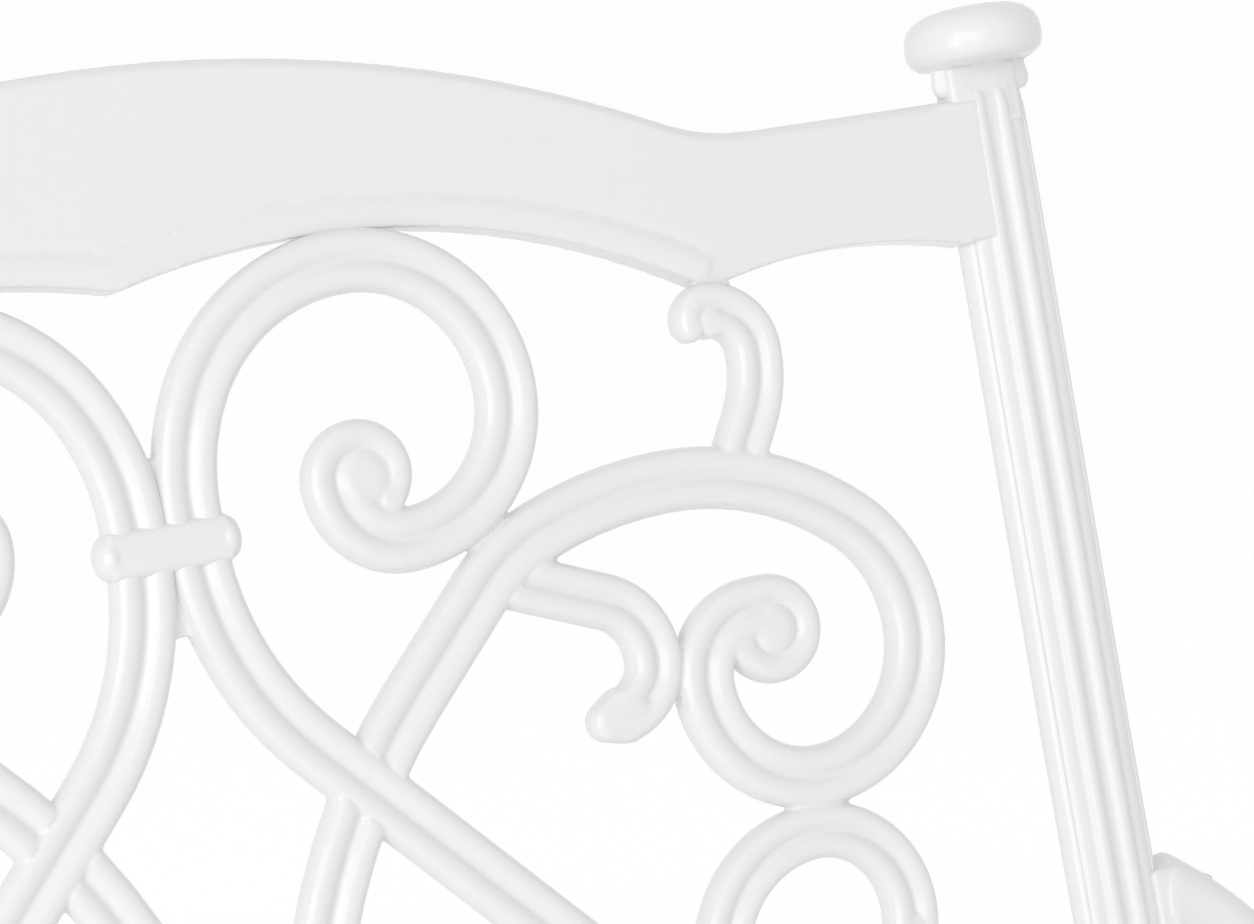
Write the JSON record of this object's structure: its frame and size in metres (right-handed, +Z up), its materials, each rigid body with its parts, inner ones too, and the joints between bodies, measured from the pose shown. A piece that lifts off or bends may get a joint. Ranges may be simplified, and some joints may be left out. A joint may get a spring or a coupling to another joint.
{
  "type": "cast metal armchair",
  "caption": "White cast-metal garden armchair with a reclined scrollwork back, round finials, lattice seat, rolled arms and splayed legs.",
  "frame": {"origin": "on the floor, in the middle of the chair's box", "axes": "+Z up, the chair faces -Y, +X to the right as seen from the front"},
  "size_m": [0.5054, 0.5529, 0.9216],
  "materials": {
    "white_coat": "glossy white powder coat on cast aluminium",
    "bolt_steel": "plain stainless steel",
    "glide_nylon": "moulded nylon"
  },
  "bodies": {
    "root": {"arm_bolts": "bolt_steel", "back_scroll_panel": "white_coat", "crest_rail": "white_coat", "finials": "white_coat", "front_brackets": "white_coat", "front_seat_rail": "white_coat", "glides": "glide_nylon", "left_arm": "white_coat", "left_front_leg": "white_coat", "left_rear_upright": "white_coat", "left_side_seat_rail": "white_coat", "lower_back_rail": "white_coat", "lower_collar": "white_coat", "middle_collar": "white_coat", "rear_brackets": "white_coat", "rear_seat_rail": "white_coat", "right_arm": "white_coat", "right_front_leg": "white_coat", "right_rear_upright": "white_coat", "right_side_seat_rail": "white_coat", "seat_bolts": "bolt_steel", "seat_grille": "white_coat", "upper_collar": "white_coat"}
  },
  "joints": []
}
